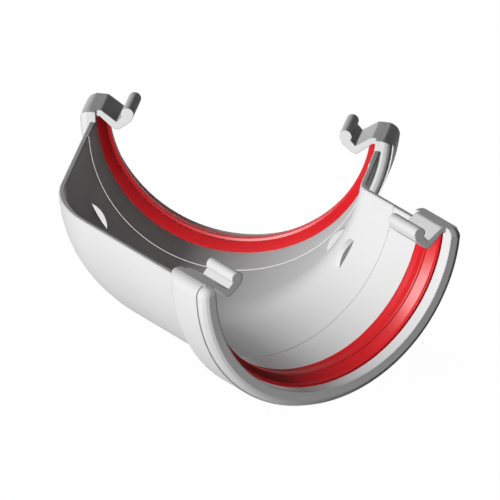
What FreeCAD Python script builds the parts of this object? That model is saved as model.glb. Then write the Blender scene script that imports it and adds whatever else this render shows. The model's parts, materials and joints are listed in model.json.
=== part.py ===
import FreeCAD, Part
import math
import os

# Half-round gutter angle, 135 degrees, with two lip seals. Millimetres, +Z up.
# Each arm is drawn along +X from the corner point, with Z = 0 at the centre of the
# round, and is then turned into place. The row's arms run to +X and -X, towards +Y.

# Channel
bend_angle = 45.0          # turn of the gutter line
arm_length = 94.4          # corner point to mouth face
seat_radius = 62.5         # inside radius of the sockets
seat_length = 42.7         # socket seat, measured from the mouth face
seat_step = 0.3            # the channel is this much wider past the seat
channel_wall = 2.5
seat_cover = 0.8           # seat liner stops this far inside the outer surface
rim_drop = 5.7             # rim below the centre of the round
rim_bevel = 0.5
corner_radius_out = 55.0   # plan radius of the outer rim
corner_radius_in = 10.0    # plan radius of the inner rim
corner_steps = 8           # spans of the lofted corner

# Socket collar, lengths measured back from the mouth face
back_wall = 3.6            # collar behind the seal
collar_wall = 3.1          # outside the seal
collar_drop = 0.7          # outside of the collar is centred a little lower
collar_top = -1.0          # flat top, from the centre of the round
collar_corner = 5.0
lip_length = 4.6           # rounded lips at the mouth and the back, set in from the collar
lip_inset = 0.7
lip_round = 3.8
entry_clearance = 0.4      # mouth wider than the seat
upright = 2.0              # last stretch of the socket wall stands upright
web = 2.8                  # wall over the ends of the seal and thickness of the clips

# Seal
pocket_from = 5.8
pocket_length = 17.1
seal_depth = 4.7           # seat surface to the floor of the pocket
seal_end_gap = 0.4         # below the web
front_ridge = 0.9          # heights above the seat
front_lip = 3.4
main_lip = 3.7
groove = 2.3
rear_lip = 3.5

# Clips, measured inboard of the seat surface and below the flat top
clip_from = 4.1            # measured back from the mouth face
clip_back = 3.0            # the clip ends this far before the collar does
clip_root = 3.5            # inside the collar wall
clip_bend = 2.1
clip_valley = 9.2
clip_dip = 4.8
bead_reach = 13.8
bead_dip = 0.6
bead_radius = 2.8

# Stops for the gutter's end
stop_angle = 32.5          # below the horizontal through the centre
stop_clearance = 1.05      # from the end of the corner on its inner side
stop_thickness = 3.3
stop_height = 2.5
stop_round = 12.1

half = math.radians(bend_angle / 2.0)
cos_h = math.cos(half)
channel_radius = seat_radius + seat_step
channel_outer = channel_radius + channel_wall
corner_slope = (corner_radius_out - corner_radius_in) / (2.0 * channel_outer)
corner_middle = (corner_radius_out + corner_radius_in) / 2.0
pocket_radius = seat_radius + seal_depth
pocket_to = pocket_from + pocket_length
collar_length = pocket_to + back_wall
collar_radius = pocket_radius + collar_wall
centre_height = collar_radius + collar_drop
lap = 1.0                  # overrun of tools and of pieces that fuse
beyond = 2.0 * (arm_length + collar_radius)


def vec(x, y, z):
    return FreeCAD.Vector(x, y, z)


def rounded_wire(points):
    """Closed wire in the YZ plane from (y, z, radius) corners."""
    n = len(points)
    joints = []
    for i in range(n):
        y, z, r = points[i]
        p = vec(0, y, z)
        a = vec(0, points[i - 1][0], points[i - 1][1]) - p
        b = vec(0, points[(i + 1) % n][0], points[(i + 1) % n][1]) - p
        a.normalize()
        b.normalize()
        if r <= 0:
            joints.append((p, None, p))
            continue
        angle = a.getAngle(b)
        t = r / math.tan(angle / 2.0)
        middle = a + b
        middle.normalize()
        mid = p + middle * (r / math.sin(angle / 2.0) - r)
        joints.append((p + a * t, mid, p + b * t))
    edges = []
    for i in range(n):
        start, mid, end = joints[i]
        if mid is not None:
            edges.append(Part.Arc(start, mid, end).toShape())
        after = joints[(i + 1) % n][0]
        edges.append(Part.makeLine(end, after))
    return Part.Wire(edges)


def prism(wire, start, end):
    """Section in the YZ plane drawn out along the arm."""
    face = Part.Face(wire)
    face.translate(vec(start, 0, 0))
    return face.extrude(vec(end - start, 0, 0))


def tube(radius, start, end):
    return Part.makeCylinder(radius, end - start, vec(start, 0, 0), vec(1, 0, 0))


def slab(start, end, side, low, high):
    """Block along the arm, as wide as the side on both sides of its axis."""
    return Part.makeBox(end - start, 2.0 * side, high - low, vec(start, -side, low))


def channel_wire(inner, outer):
    """Half-round section with bevelled rim edges, in the YZ plane."""
    c = rim_bevel
    z = -rim_drop
    low = z - c
    yo = math.sqrt(outer ** 2 - low ** 2)
    yi = math.sqrt(inner ** 2 - low ** 2)
    left = [vec(0, -yo, low), vec(0, -yo + c, z), vec(0, -yi - c, z), vec(0, -yi, low)]
    right = [vec(0, yi, low), vec(0, yi + c, z), vec(0, yo - c, z), vec(0, yo, low)]
    edges = [Part.Arc(right[3], vec(0, 0, -outer), left[0]).toShape()]
    edges += [Part.makeLine(left[i], left[i + 1]) for i in range(3)]
    edges += [Part.Arc(left[3], vec(0, 0, -inner), right[0]).toShape()]
    edges += [Part.makeLine(right[i], right[i + 1]) for i in range(3)]
    return Part.Wire(edges)


def corner_matrix(psi):
    """Places the channel section at plan angle psi of the corner.

    Every point of the section runs round its own plan arc, tangent to both arms.
    The arc's radius grows evenly from the inner rim to the outer one.
    """
    ox = corner_middle * math.sin(psi)
    oy = corner_middle / cos_h - corner_middle * math.cos(psi)
    dx = corner_slope * math.sin(psi)
    dy = (corner_slope - 1.0) / cos_h - corner_slope * math.cos(psi)
    return FreeCAD.Matrix(1, -dx, 0, ox, 0, -dy, 0, oy, 0, 0, 1, 0, 0, 0, 0, 1)


def channel_corner():
    section = channel_wire(channel_radius, channel_outer)
    wires = []
    for i in range(corner_steps + 1):
        psi = half * (2.0 * i / corner_steps - 1.0)
        wires.append(section.transformGeometry(corner_matrix(psi)))
    return Part.makeLoft(wires, True, False)


def corner_end(side):
    """How far along the arm the corner ends, at this distance to its inner side."""
    return (corner_middle + (1.0 - corner_slope) * side) * math.tan(half)


def channel_arm():
    """Straight channel from the slanting end of the corner into the collar."""
    end = arm_length - collar_length + lap
    body = prism(channel_wire(channel_radius, channel_outer), -beyond, end)
    wide = channel_outer + lap
    plan = [vec(corner_end(-wide), -wide, -beyond), vec(beyond, -wide, -beyond),
            vec(beyond, wide, -beyond), vec(corner_end(wide), wide, -beyond)]
    keep = Part.Face(Part.makePolygon(plan + [plan[0]])).extrude(vec(0, 0, 2.0 * beyond))
    return body.common(keep)


def seat():
    """Slightly proud socket seat, from its step line into the collar."""
    start = arm_length - seat_length
    end = arm_length - collar_length + lap
    return prism(channel_wire(seat_radius, channel_outer - seat_cover), start, end)


def collar_outline(inset):
    """Half disc with a flat top and rounded upper corners."""
    radius = collar_radius - inset
    r = collar_corner - inset
    z = collar_top - collar_corner
    rise = z + collar_drop
    y = math.sqrt((radius - r) ** 2 - rise ** 2)
    a = math.atan2(rise, y)
    m = (math.pi / 2.0 + a) / 2.0
    outer = vec(0, y + r * math.cos(a), z + r * math.sin(a))
    middle = vec(0, y + r * math.cos(m), z + r * math.sin(m))
    upper = vec(0, y, z + r)
    flip = [vec(0, -p.y, p.z) for p in (outer, middle, upper)]
    edges = [Part.Arc(flip[0], vec(0, 0, -radius - collar_drop), outer).toShape(),
             Part.Arc(outer, middle, upper).toShape(),
             Part.makeLine(upper, flip[2]),
             Part.Arc(flip[2], flip[1], flip[0]).toShape()]
    return Part.Wire(edges)


def end_edges(shape, x):
    """Edges that lie in the end plane at x."""
    found = []
    for edge in shape.Edges:
        box = edge.BoundBox
        if abs(box.XMin - x) < 1e-4 and abs(box.XMax - x) < 1e-4:
            found.append(edge)
    return found


def round_end(shape, x, inward, radius):
    """Rounds the edge of the end plane at x in three narrow facets."""
    leg = radius * (2.0 - math.sqrt(2.0))
    trim = radius * math.tan(math.pi / 16.0) / math.cos(math.pi / 8.0)
    blunt = shape.makeChamfer(leg, end_edges(shape, x))
    creases = end_edges(blunt, x) + end_edges(blunt, x + inward * leg)
    return blunt.makeChamfer(trim, creases)


def room(radius, start, end):
    """Space inside the round, open at the top between upright walls."""
    above = slab(start, end, radius, collar_top - upright, beyond)
    return tube(radius, start, end).fuse(above)


def back_lip(back, rounding):
    """Rounded back of the collar. Its flat top keeps a square edge."""
    radius = collar_radius - lip_inset
    end = lip_length + lap
    drum = Part.makeCylinder(radius, end, vec(back, 0, -collar_drop), vec(1, 0, 0))
    drum = round_end(drum, back, 1.0, rounding)
    return drum.common(prism(collar_outline(0.0), back - lap, back + end))


def collar():
    """Socket collar with its two lips and its seal pocket."""
    mouth = arm_length
    back = mouth - collar_length
    band = prism(collar_outline(0.0), back + lip_length, mouth - lip_length)
    rounding = min(lip_round, 0.9 * (collar_corner - lip_inset), 0.9 * lip_length)
    lip = prism(collar_outline(lip_inset), mouth - lip_length - lap, mouth)
    lip = round_end(lip, mouth, -1.0, rounding)
    body = band.fuse(lip).fuse(back_lip(back, rounding))
    body = body.cut(room(seat_radius, back - lap, mouth + lap))
    body = body.cut(room(seat_radius + entry_clearance, mouth - pocket_from, mouth + lap))
    pocket = tube(pocket_radius, mouth - pocket_to, mouth - pocket_from)
    return body.cut(pocket.common(slab(0, mouth, beyond, -beyond, collar_top - web)))


def clip_outline():
    """Corners of the clip: down into its valley and up to the bead."""
    top = collar_top
    root = seat_radius + clip_root
    bend = seat_radius - clip_bend
    valley = seat_radius - clip_valley
    low = top - clip_dip
    bead_y = seat_radius - bead_reach
    bead_z = top - bead_dip
    r = bead_radius
    return [(root, top, 0.0), (bend, top, 0.75 * web), (valley, low, 0.2 * web),
            (bead_y + 0.9 * r, bead_z - 0.65 * r, 0.0), (bead_y, bead_z, 0.0),
            (bead_y - 0.98 * r, bead_z - 0.2 * r, 0.0),
            (bead_y - 0.65 * r, bead_z - 1.2 * r, r), (valley, low - 1.57 * web, r),
            (bend + 0.18 * web, top - web, 0.3 * web), (root, top - web, 0.0)]


def clip():
    """Sprung clip on the outer side of the arm."""
    start = arm_length - collar_length + clip_back
    end = arm_length - clip_from
    strip = prism(rounded_wire(clip_outline()), start, end)
    base = vec(start, seat_radius - bead_reach, collar_top - bead_dip)
    return strip.fuse(Part.makeCylinder(bead_radius, end - start, base, vec(1, 0, 0)))


def stop(side):
    """Half-moon stop on one wall of the arm."""
    a = math.radians(stop_angle)
    start = corner_end(channel_radius * math.cos(a)) + stop_clearance
    out = channel_radius - stop_height + stop_round
    base = vec(start, side * out * math.cos(a), -out * math.sin(a))
    moon = Part.makeCylinder(stop_round, stop_thickness, base, vec(1, 0, 0))
    inside = tube(channel_radius + channel_wall / 2.0, start - lap,
                  start + stop_thickness + lap)
    return moon.common(inside)


def mirror_y(shape):
    return shape.mirror(vec(0, 0, 0), vec(0, 1, 0))


def mirror_x(shape):
    return shape.mirror(vec(0, 0, 0), vec(1, 0, 0))


def turn_to_row(shape):
    out = shape.copy()
    out.rotate(vec(0, 0, 0), vec(0, 0, 1), bend_angle / 2.0)
    return out


def solid_of(shape):
    shape = shape.removeSplitter()
    if len(shape.Solids) != 1:
        raise ValueError("expected one solid, got %d" % len(shape.Solids))
    return shape.Solids[0]


def angle_body():
    """The moulded body: channel, corner, two collars, clips and stops."""
    hook = clip()
    side = channel_arm()
    for part in (seat(), collar(), hook, mirror_y(hook), stop(1.0), stop(-1.0)):
        side = side.fuse(part)
    side = turn_to_row(side)
    return solid_of(side.fuse(channel_corner()).fuse(mirror_x(side)))


def seal_space():
    """Space for the seal, clear of the webs and of the clips' undersides."""
    level = collar_top - web
    bend = seat_radius - clip_bend + 0.18 * web
    fall = (clip_dip + 0.57 * web) / (clip_valley + 0.18 * web - clip_bend)
    top = level - seal_end_gap
    drop = seal_end_gap * math.hypot(1.0, fall)
    knee = bend + (drop - seal_end_gap) / fall
    inner = knee / 2.0
    low = top - (knee - inner) * fall
    corners = [(beyond, top), (knee, top), (inner, low), (-inner, low), (-knee, top),
               (-beyond, top), (-beyond, -beyond), (beyond, -beyond), (beyond, top)]
    return prism(Part.makePolygon([vec(0, y, z) for y, z in corners]), 0, arm_length)


def seal():
    """Rubber lip seal: its section turned round the arm's axis."""
    front = pocket_from
    rear = pocket_to
    r = seat_radius
    points = [(front, pocket_radius), (front, r - front_ridge), (front + 1.3, r - front_ridge),
              (front + 5.1, r - front_lip), (front + 9.0, r - main_lip),
              (front + 9.6, r - groove), (rear - 4.3, r - rear_lip), (rear, r),
              (rear, pocket_radius)]
    corners = [vec(arm_length - d, 0, -q) for d, q in points]
    face = Part.Face(Part.makePolygon(corners + [corners[0]]))
    ring = face.revolve(vec(0, 0, 0), vec(1, 0, 0), 360)
    return solid_of(turn_to_row(ring.common(seal_space())))


def placed(shape, shift_y):
    """Moves the model's corner frame to the row's frame."""
    out = shape.copy()
    out.translate(vec(0, shift_y, centre_height))
    return out


def limits(shape):
    box = shape.optimalBoundingBox(False, False)
    return [box.XMin, box.XMax, box.YMin, box.YMax, box.ZMin, box.ZMax]


os.makedirs("parts", exist_ok=True)
body = angle_body()
right = seal()
extent = limits(body)
shift_y = -(extent[2] + extent[3]) / 2.0
nodes = {"angle_body": body, "right_seal": right, "left_seal": mirror_x(right)}
for name, shape in nodes.items():
    solid = placed(shape, shift_y)
    solid.exportStep("parts/%s.step" % name)
    print(name, solid.isValid(), round(solid.Volume, 1), len(solid.Faces),
          [round(value, 2) for value in limits(solid)])
print("shift", round(shift_y, 4), "centre height", centre_height)
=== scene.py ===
import json
import math

import bpy
from mathutils import Matrix, Vector


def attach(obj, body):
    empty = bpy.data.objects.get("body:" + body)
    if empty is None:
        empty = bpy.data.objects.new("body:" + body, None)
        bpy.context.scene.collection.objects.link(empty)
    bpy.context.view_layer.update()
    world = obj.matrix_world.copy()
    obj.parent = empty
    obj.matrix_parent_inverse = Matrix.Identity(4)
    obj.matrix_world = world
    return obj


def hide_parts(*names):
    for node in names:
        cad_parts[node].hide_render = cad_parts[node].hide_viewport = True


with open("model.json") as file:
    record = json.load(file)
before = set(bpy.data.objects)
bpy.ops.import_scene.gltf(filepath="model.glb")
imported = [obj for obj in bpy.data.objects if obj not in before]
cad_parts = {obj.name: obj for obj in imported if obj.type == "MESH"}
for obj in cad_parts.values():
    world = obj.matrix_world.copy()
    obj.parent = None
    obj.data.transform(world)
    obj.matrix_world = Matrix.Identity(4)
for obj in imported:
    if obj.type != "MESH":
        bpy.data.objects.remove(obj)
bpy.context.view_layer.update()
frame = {"nodes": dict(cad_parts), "record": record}

MM = 0.001

# Seal and socket in millimetres, distances measured back from the mouth face
SEAT_RADIUS = 62.5
POCKET_RADIUS = 67.2
POCKET_FROM = 5.8
POCKET_TO = 22.9
SEAL_CLEARANCE = 0.05      # between the rubber and the walls of its pocket
FRONT_RIDGE = 0.9          # heights above the seat
FRONT_LIP = 3.4
MAIN_LIP = 3.7
GROOVE = 2.3
REAR_LIP = 3.5
FINE_GROOVE = 0.8          # depth below the front lip
RIDGE_AT = 1.3             # places behind the front wall of the pocket
FRONT_LIP_FROM = 5.1
FINE_GROOVE_AT = 5.6
FRONT_LIP_TO = 6.1
MAIN_LIP_AT = 9.0
GROOVE_FROM = 9.6
REAR_LIP_AT = 4.3          # before the back wall of the pocket
SEAL_TOP = -4.2            # from the centre of the round
CLIP_KNEE = 61.05          # from here inwards the clips' undersides slope down
CLIP_FALL = 0.8411         # fall of that slope for each millimetre

# Making of the seals
LIP_ROUND = 0.25           # millimetres
LIP_SEGMENTS = 4
SPIN_STEPS = 47
SPIN_ANGLE = 94.0          # degrees, a little past the bottom of the round
SMOOTH_ANGLE = 40.0
MERGE_DISTANCE = 0.001 * MM

# Rounded collar lips in metres, distance back from the mouth face
MOUTH_LIP_END = 0.0042
BACK_LIP_START = 0.0222
BACK_LIP_END = 0.0268
LIP_EDGE = 0.00075         # softening of the edges in the lips and elsewhere
PLAIN_EDGE = 0.0002
EDGE_SAMPLES = 6

# Inner end of the seat in metres: distance from the mouth, softened length, reach outwards
SEAT_END = 0.0427
SEAT_SLOPE = 0.0005
SEAT_REACH = 0.064

# White plastic
PVC_SHADE = (0.84, 0.84, 0.84)
PVC_LIGHT = (0.87, 0.87, 0.87)
PVC_SPECKS = (0.80, 0.80, 0.795)
PVC_SPECK_SHARE = 0.16
PVC_ROUGHNESS = (0.44, 0.52)
PVC_IOR = 1.53
PVC_GLOSS = 0.07
FLOW_SCALE = 28.0
SPECK_SCALE = 520.0
SHEEN_SCALE = 60.0
PEEL_SCALE = 900.0

# Red rubber
RUBBER_DEEP = (0.73, 0.010, 0.016)
RUBBER_BRIGHT = (0.79, 0.014, 0.021)
RUBBER_GRAIN = (0.67, 0.012, 0.018)
# Painted shade: a dark colour mixed into the seals' creases where occlusion is found
RUBBER_PAINTED_SHADE = (0.10, 0.002, 0.003)
RUBBER_GRAIN_SHARE = 0.2
RUBBER_ROUGHNESS = (0.35, 0.39)
RUBBER_IOR = 1.52
RUBBER_GLOSS = 0.16
BLOOM_SCALE = 90.0
GRAIN_SCALE = 1500.0
# Painted shade in the creases: occlusion reach, samples, and range from fully painted dark
# to plain rubber
CREASE_SHADE_REACH = 1.4 * MM
CREASE_SHADE_SAMPLES = 8
CREASE_SHADE_OPENNESS = (0.35, 0.85)   # from fully dark to plain rubber

# Shader nodes
NOISE_RANGE = (0.3, 0.7)   # where most of a noise texture's values lie
NOISE_ROUGHNESS = 0.5
MIX_COLOURS_IN = (6, 7)    # colour sockets of the Mix node
MIX_COLOUR_OUT = 2

# Stage
WHITE = (1.0, 1.0, 1.0, 1.0)
AMBIENT = 0.015            # world light on the object
FLOOR_SIZE = 60.0
FLOOR_DROP = 0.05 * MM
FLOOR_PAINT = (0.9, 0.9, 0.9, 1.0)
FLOOR_GLOW = 0.798         # brings the floor up to white
BACKGROUND_RAYS = ("Is Camera Ray", "Is Glossy Ray", "Is Transmission Ray")
ALL_BOUNCES = 1024

# Camera, where the photograph was taken from
AZIMUTH = 76.2439
ELEVATION = 22.9716
ROLL = 2.3969
TARGET = Vector((0.01341, -0.00027, 0.04375))
CAMERA_DISTANCE = 10.0
CLIP_DISTANCE = 3.0 * CAMERA_DISTANCE
PIXELS_PER_METRE = 2287.3
PHOTO_WIDTH = 500.0        # pixels
SENSOR = 36.0


# Shader helpers
def new_material(name):
    material = bpy.data.materials.new(name)
    material.use_nodes = True
    tree = material.node_tree
    tree.nodes.clear()
    return material, tree


def add_node(tree, kind, **values):
    node = tree.nodes.new(kind)
    for key, value in values.items():
        setattr(node, key, value)
    return node


def calculate(tree, operation, first, second=None):
    """Math node. Each value is a float or a socket."""
    node = add_node(tree, "ShaderNodeMath", operation=operation)
    for socket, value in zip(node.inputs, (first, second)):
        if isinstance(value, float):
            socket.default_value = value
        elif value is not None:
            tree.links.new(value, socket)
    return node.outputs["Value"]


def vector_step(tree, operation, first, second=None):
    """Vector Math node on a socket and, for some operations, a fixed vector."""
    node = add_node(tree, "ShaderNodeVectorMath", operation=operation)
    tree.links.new(first, node.inputs[0])
    if second is not None:
        node.inputs[1].default_value = second
    scalar = operation in ("DOT_PRODUCT", "LENGTH")
    return node.outputs["Value" if scalar else "Vector"]


def noise(tree, vector, scale, detail):
    node = add_node(tree, "ShaderNodeTexNoise")
    node.inputs["Scale"].default_value = scale
    node.inputs["Detail"].default_value = detail
    node.inputs["Roughness"].default_value = NOISE_ROUGHNESS
    tree.links.new(vector, node.inputs["Vector"])
    return node.outputs["Fac"]


def map_range(tree, value, start, end, low=0.0, high=1.0):
    """Maps start..end to low..high and holds the ends."""
    node = add_node(tree, "ShaderNodeMapRange")
    limits = {"From Min": start, "From Max": end, "To Min": low, "To Max": high}
    for name, limit in limits.items():
        node.inputs[name].default_value = limit
    tree.links.new(value, node.inputs["Value"])
    return node.outputs["Result"]


def spread(tree, factor, low=0.0, high=1.0):
    """Maps noise from its usual middle range to low..high."""
    return map_range(tree, factor, *NOISE_RANGE, low, high)


def between(tree, value, low, high):
    """1 where the value lies between low and high, 0 elsewhere."""
    above = calculate(tree, "GREATER_THAN", value, low)
    return calculate(tree, "MULTIPLY", above, calculate(tree, "LESS_THAN", value, high))


def mix_colours(tree, factor, first, second):
    """Mixes two colours, each a tuple or a socket."""
    node = add_node(tree, "ShaderNodeMix", data_type="RGBA")
    tree.links.new(factor, node.inputs["Factor"])
    for place, colour in zip(MIX_COLOURS_IN, (first, second)):
        if isinstance(colour, tuple):
            node.inputs[place].default_value = colour + (1.0,)
        else:
            tree.links.new(colour, node.inputs[place])
    return node.outputs[MIX_COLOUR_OUT]


def bump(tree, height, strength, distance, normal=None):
    node = add_node(tree, "ShaderNodeBump")
    node.inputs["Strength"].default_value = strength
    node.inputs["Distance"].default_value = distance
    tree.links.new(height, node.inputs["Height"])
    if normal is not None:
        tree.links.new(normal, node.inputs["Normal"])
    return node.outputs["Normal"]


def shader_with_output(tree):
    output = add_node(tree, "ShaderNodeOutputMaterial")
    shader = add_node(tree, "ShaderNodeBsdfPrincipled")
    tree.links.new(shader.outputs["BSDF"], output.inputs["Surface"])
    return shader


# White plastic of the body
def socket_place(tree, place, mount):
    """Distance back from the mouth face and distance from the axis, on either arm."""
    parts = add_node(tree, "ShaderNodeSeparateXYZ")
    joined = add_node(tree, "ShaderNodeCombineXYZ")
    tree.links.new(place, parts.inputs["Vector"])
    tree.links.new(calculate(tree, "ABSOLUTE", parts.outputs["X"]), joined.inputs["X"])
    tree.links.new(parts.outputs["Y"], joined.inputs["Y"])
    tree.links.new(parts.outputs["Z"], joined.inputs["Z"])
    centred = vector_step(tree, "SUBTRACT", joined.outputs["Vector"], mount["pos_m"])
    ahead = vector_step(tree, "DOT_PRODUCT", centred, mount["axis"])
    across = vector_step(tree, "CROSS_PRODUCT", centred, mount["axis"])
    return calculate(tree, "MULTIPLY", ahead, -1.0), vector_step(tree, "LENGTH", across)


def edge_radius(tree, inside):
    """Edge rounding: wide in the collars' rounded lips, narrow elsewhere."""
    lips = calculate(tree, "ADD", between(tree, inside, -MOUTH_LIP_END, MOUTH_LIP_END),
                     between(tree, inside, BACK_LIP_START, BACK_LIP_END))
    wide = calculate(tree, "MULTIPLY", lips, LIP_EDGE - PLAIN_EDGE)
    return calculate(tree, "ADD", wide, PLAIN_EDGE)


def seat_end(tree, inside, radial):
    """Soft slope at the inner end of the seat, 1 on the seat and 0 past it."""
    slope = map_range(tree, inside, SEAT_END - SEAT_SLOPE, SEAT_END, low=1.0, high=0.0)
    indoors = calculate(tree, "LESS_THAN", radial, SEAT_REACH)
    return calculate(tree, "MULTIPLY", slope, indoors)


def moulded_pvc(mount):
    """White gutter PVC: soft gloss, with the faint flow and orange peel of a moulding."""
    material, tree = new_material("moulded_white_pvc")
    shader = shader_with_output(tree)
    place = add_node(tree, "ShaderNodeTexCoord").outputs["Object"]
    flow = noise(tree, place, FLOW_SCALE, detail=2.0)
    specks = noise(tree, place, SPECK_SCALE, detail=2.0)
    sheen = noise(tree, place, SHEEN_SCALE, detail=3.0)
    peel = noise(tree, place, PEEL_SCALE, detail=2.0)

    base = mix_colours(tree, spread(tree, flow), PVC_SHADE, PVC_LIGHT)
    speck_share = spread(tree, specks, high=PVC_SPECK_SHARE)
    colour = mix_colours(tree, speck_share, base, PVC_SPECKS)
    tree.links.new(colour, shader.inputs["Base Color"])
    tree.links.new(spread(tree, sheen, *PVC_ROUGHNESS), shader.inputs["Roughness"])
    shader.inputs["IOR"].default_value = PVC_IOR
    shader.inputs["Specular IOR Level"].default_value = PVC_GLOSS

    edge = add_node(tree, "ShaderNodeBevel", samples=EDGE_SAMPLES)
    inside, radial = socket_place(tree, place, mount)
    tree.links.new(edge_radius(tree, inside), edge.inputs["Radius"])
    step = bump(tree, seat_end(tree, inside, radial), strength=1.0, distance=0.3 * MM,
                normal=edge.outputs["Normal"])
    broad = bump(tree, flow, strength=0.06, distance=0.4 * MM, normal=step)
    fine = bump(tree, peel, strength=0.05, distance=0.05 * MM, normal=broad)
    tree.links.new(fine, shader.inputs["Normal"])
    return material


# Red rubber of the seals
def painted_crease_shade(tree, colour):
    """Paints shade into the narrow grooves between the lips: a dark rubber colour where
    ambient occlusion finds nearby surfaces.
    """
    occlusion = add_node(tree, "ShaderNodeAmbientOcclusion", samples=CREASE_SHADE_SAMPLES,
                      only_local=True)
    occlusion.inputs["Distance"].default_value = CREASE_SHADE_REACH
    unshaded_share = map_range(tree, occlusion.outputs["AO"], *CREASE_SHADE_OPENNESS)
    return mix_colours(tree, unshaded_share, RUBBER_PAINTED_SHADE, colour)


def red_rubber():
    """Red seal rubber: soft sheen, faint bloom and fine grain, with painted shade in its
    creases.
    """
    material, tree = new_material("red_seal_rubber")
    shader = shader_with_output(tree)
    place = add_node(tree, "ShaderNodeTexCoord").outputs["Object"]
    bloom = noise(tree, place, BLOOM_SCALE, detail=3.0)
    grain = noise(tree, place, GRAIN_SCALE, detail=2.0)

    base = mix_colours(tree, spread(tree, bloom), RUBBER_DEEP, RUBBER_BRIGHT)
    grain_share = spread(tree, grain, high=RUBBER_GRAIN_SHARE)
    colour = mix_colours(tree, grain_share, base, RUBBER_GRAIN)
    # The colour gets painted shade in the grooves before it goes to the shader
    tree.links.new(painted_crease_shade(tree, colour), shader.inputs["Base Color"])
    tree.links.new(spread(tree, bloom, *RUBBER_ROUGHNESS), shader.inputs["Roughness"])
    shader.inputs["IOR"].default_value = RUBBER_IOR
    shader.inputs["Specular IOR Level"].default_value = RUBBER_GLOSS
    fine = bump(tree, grain, strength=0.10, distance=0.05 * MM)
    tree.links.new(fine, shader.inputs["Normal"])
    return material


# Rubber seals
def seal_section():
    """Corners of the seal's section: (distance from the mouth, radius)."""
    front = POCKET_FROM + SEAL_CLEARANCE
    rear = POCKET_TO - SEAL_CLEARANCE
    outside = POCKET_RADIUS - SEAL_CLEARANCE
    r = SEAT_RADIUS
    return [(front, outside), (front, r - FRONT_RIDGE),
            (POCKET_FROM + RIDGE_AT, r - FRONT_RIDGE),
            (POCKET_FROM + FRONT_LIP_FROM, r - FRONT_LIP),
            (POCKET_FROM + FINE_GROOVE_AT, r - FRONT_LIP + FINE_GROOVE),
            (POCKET_FROM + FRONT_LIP_TO, r - FRONT_LIP),
            (POCKET_FROM + MAIN_LIP_AT, r - MAIN_LIP),
            (POCKET_FROM + GROOVE_FROM, r - GROOVE),
            (POCKET_TO - REAR_LIP_AT, r - REAR_LIP), (rear, r), (rear, outside)]


def draw_section():
    """Shrinks the new plane to a point, draws the section from it and fills it."""
    bpy.ops.mesh.merge(type="CENTER")
    corners = [Vector((-d * MM, r * MM, 0.0)) for d, r in seal_section()]
    bpy.ops.transform.translate(value=corners[0])
    for start, end in zip(corners, corners[1:]):
        bpy.ops.mesh.extrude_region_move(TRANSFORM_OT_translate={"value": end - start})
    bpy.ops.mesh.select_all(action="SELECT")
    bpy.ops.mesh.edge_face_add()
    bpy.ops.mesh.bevel(offset=LIP_ROUND * MM, segments=LIP_SEGMENTS, affect="VERTICES")


def spin_half():
    """Turns the section about the socket's axis, from the clip's side down."""
    bpy.ops.mesh.select_all(action="SELECT")
    bpy.ops.mesh.spin(steps=SPIN_STEPS, angle=math.radians(SPIN_ANGLE),
                      center=(0, 0, 0), axis=(1, 0, 0))
    bpy.ops.mesh.select_all(action="SELECT")
    bpy.ops.mesh.remove_doubles(threshold=MERGE_DISTANCE)


def trim_half():
    """Cuts the end to fit under the clip, and the bottom open where the mirror is."""
    knee = (0, CLIP_KNEE * MM, SEAL_TOP * MM)
    cuts = ((knee, (0, 0, 1), True), (knee, (0, -CLIP_FALL, 1), True),
            ((0, 0, 0), (0, -1, 0), False))
    for place, outwards, closed in cuts:
        bpy.ops.mesh.bisect(plane_co=place, plane_no=outwards, use_fill=closed,
                            clear_outer=True, threshold=MERGE_DISTANCE)
        bpy.ops.mesh.select_all(action="SELECT")


def add_other_half(seal):
    mirror = seal.modifiers.new("other_half", "MIRROR")
    mirror.use_axis = (False, True, False)
    mirror.merge_threshold = MERGE_DISTANCE
    bpy.ops.object.modifier_apply(modifier=mirror.name)
    bpy.ops.object.mode_set(mode="EDIT")
    bpy.ops.mesh.select_all(action="SELECT")
    bpy.ops.mesh.normals_make_consistent(inside=False)
    bpy.ops.object.mode_set(mode="OBJECT")


def lip_seal(name, node, mount, material):
    """One seal, made about the X axis and then set in its socket."""
    bpy.ops.object.select_all(action="DESELECT")
    bpy.ops.mesh.primitive_plane_add(size=MM, location=(0, 0, 0))
    seal = bpy.context.object
    seal.name = name
    bpy.ops.object.mode_set(mode="EDIT")
    draw_section()
    spin_half()
    trim_half()
    bpy.ops.object.mode_set(mode="OBJECT")
    add_other_half(seal)
    out = Vector(mount["axis"])
    seal.rotation_euler = (0, 0, math.atan2(out.y, out.x))
    seal.location = mount["pos_m"]
    bpy.ops.object.transform_apply(location=True, rotation=True, scale=True)
    bpy.ops.object.shade_smooth_by_angle(angle=math.radians(SMOOTH_ANGLE))
    seal.data.materials.clear()
    seal.data.materials.append(material)
    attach(seal, "root")
    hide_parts(node)
    return seal


# Stage
def show_background(tree, plain, seen):
    """The seen shader for rays that show the background, the plain one for light."""
    path = add_node(tree, "ShaderNodeLightPath")
    share = path.outputs[BACKGROUND_RAYS[0]]
    for kind in BACKGROUND_RAYS[1:]:
        share = calculate(tree, "MAXIMUM", share, path.outputs[kind])
    either = add_node(tree, "ShaderNodeMixShader")
    for socket, source in zip(either.inputs, (share, plain, seen)):
        tree.links.new(source, socket)
    return either.outputs["Shader"]


def white_light(tree, strength):
    node = add_node(tree, "ShaderNodeBackground")
    node.inputs["Color"].default_value = WHITE
    node.inputs["Strength"].default_value = strength
    return node.outputs["Background"]


def white_world():
    """White where it is seen, and only a little light on the object."""
    world = bpy.data.worlds.new("pale_studio")
    bpy.context.scene.world = world
    world.use_nodes = True
    tree = world.node_tree
    tree.nodes.clear()
    output = add_node(tree, "ShaderNodeOutputWorld")
    dim = white_light(tree, AMBIENT)
    white = white_light(tree, 1.0)
    tree.links.new(show_background(tree, dim, white), output.inputs["Surface"])


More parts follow.
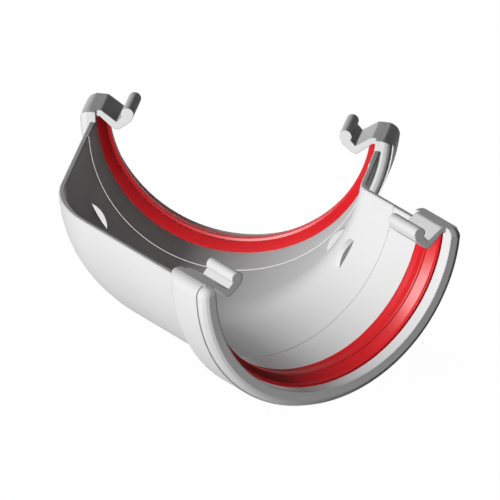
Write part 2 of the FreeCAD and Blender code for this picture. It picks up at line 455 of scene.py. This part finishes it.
def floor_paint():
    """White floor that keeps a faint shadow of the object."""
    material, tree = new_material("pale_floor")
    output = add_node(tree, "ShaderNodeOutputMaterial")
    paint = add_node(tree, "ShaderNodeBsdfDiffuse")
    paint.inputs["Color"].default_value = FLOOR_PAINT
    glow = add_node(tree, "ShaderNodeEmission")
    glow.inputs["Strength"].default_value = FLOOR_GLOW
    glowing = add_node(tree, "ShaderNodeAddShader")
    tree.links.new(paint.outputs["BSDF"], glowing.inputs[0])
    tree.links.new(glow.outputs["Emission"], glowing.inputs[1])
    either = show_background(tree, paint.outputs["BSDF"], glowing.outputs["Shader"])
    tree.links.new(either, output.inputs["Surface"])
    return material


def studio_floor():
    bpy.ops.object.select_all(action="DESELECT")
    bpy.ops.mesh.primitive_plane_add(size=FLOOR_SIZE, location=(0, 0, -FLOOR_DROP))
    ground = bpy.context.object
    ground.name = "studio_floor"
    ground.data.materials.append(floor_paint())


# Lamps
def sun(name, towards, strength, softness, shadow=True, bounces=ALL_BOUNCES, gloss=True,
        matt=True):
    """A lamp far away, softness degrees wide. towards runs from the object to the lamp."""
    data = bpy.data.lights.new(name, "SUN")
    data.energy = strength
    data.angle = math.radians(softness)
    data.use_shadow = shadow
    data.cycles.max_bounces = bounces
    lamp = bpy.data.objects.new(name, data)
    lamp.visible_glossy = gloss
    lamp.visible_diffuse = matt
    lamp.rotation_euler = Vector(towards).to_track_quat("Z", "Y").to_euler()
    bpy.context.scene.collection.objects.link(lamp)
    return lamp


def light_only(lamp, pieces):
    """The lamp lights these pieces and no others."""
    lit = bpy.data.collections.new(lamp.name + "_pieces")
    for piece in pieces:
        lit.objects.link(piece)
    lamp.light_linking.receiver_collection = lit


def lamps(seals):
    """Two lamps for the tones, one for the rubber's sheen, one for the floor's shadow."""
    sun("key_lamp", towards=(0.565, -0.795, 0.175), strength=3.2, softness=3.0,
        shadow=False, bounces=0, gloss=False)
    sheen = sun("sheen_lamp", towards=(0.611, -0.672, 0.418), strength=13.5, softness=34.0,
                shadow=False, bounces=0, matt=False)
    light_only(sheen, seals)
    sun("rear_lamp", towards=(-0.930, 0.360, 0.0), strength=2.4, softness=3.0,
        shadow=False, bounces=0, gloss=False)
    sun("top_lamp", towards=(0.2, -0.3, 1.0), strength=0.09, softness=30.0)


# Camera
def camera():
    turn = (Matrix.Rotation(math.radians(AZIMUTH), 3, "Z")
            @ Matrix.Rotation(math.radians(90.0 - ELEVATION), 3, "X")
            @ Matrix.Rotation(math.radians(ROLL), 3, "Z"))
    data = bpy.data.cameras.new("photo_camera")
    data.sensor_width = SENSOR
    data.lens = SENSOR * CAMERA_DISTANCE * PIXELS_PER_METRE / PHOTO_WIDTH
    data.clip_end = CLIP_DISTANCE
    viewer = bpy.data.objects.new("photo_camera", data)
    back = turn @ Vector((0, 0, CAMERA_DISTANCE))
    viewer.matrix_world = Matrix.Translation(TARGET + back) @ turn.to_4x4()
    bpy.context.scene.collection.objects.link(viewer)
    bpy.context.scene.camera = viewer


# The object
mounts = {mount["name"]: mount for mount in frame["record"]["mounts"]}
right, left = mounts["right_socket"], mounts["left_socket"]
body = frame["nodes"]["angle_body"]
body.material_slots[0].material = moulded_pvc(right)
rubber = red_rubber()
seals = [lip_seal("right_lip_seal", "right_seal", right, rubber),
         lip_seal("left_lip_seal", "left_seal", left, rubber)]

# The studio
white_world()
studio_floor()
lamps(seals)
camera()
bpy.context.scene.view_settings.view_transform = "Standard"
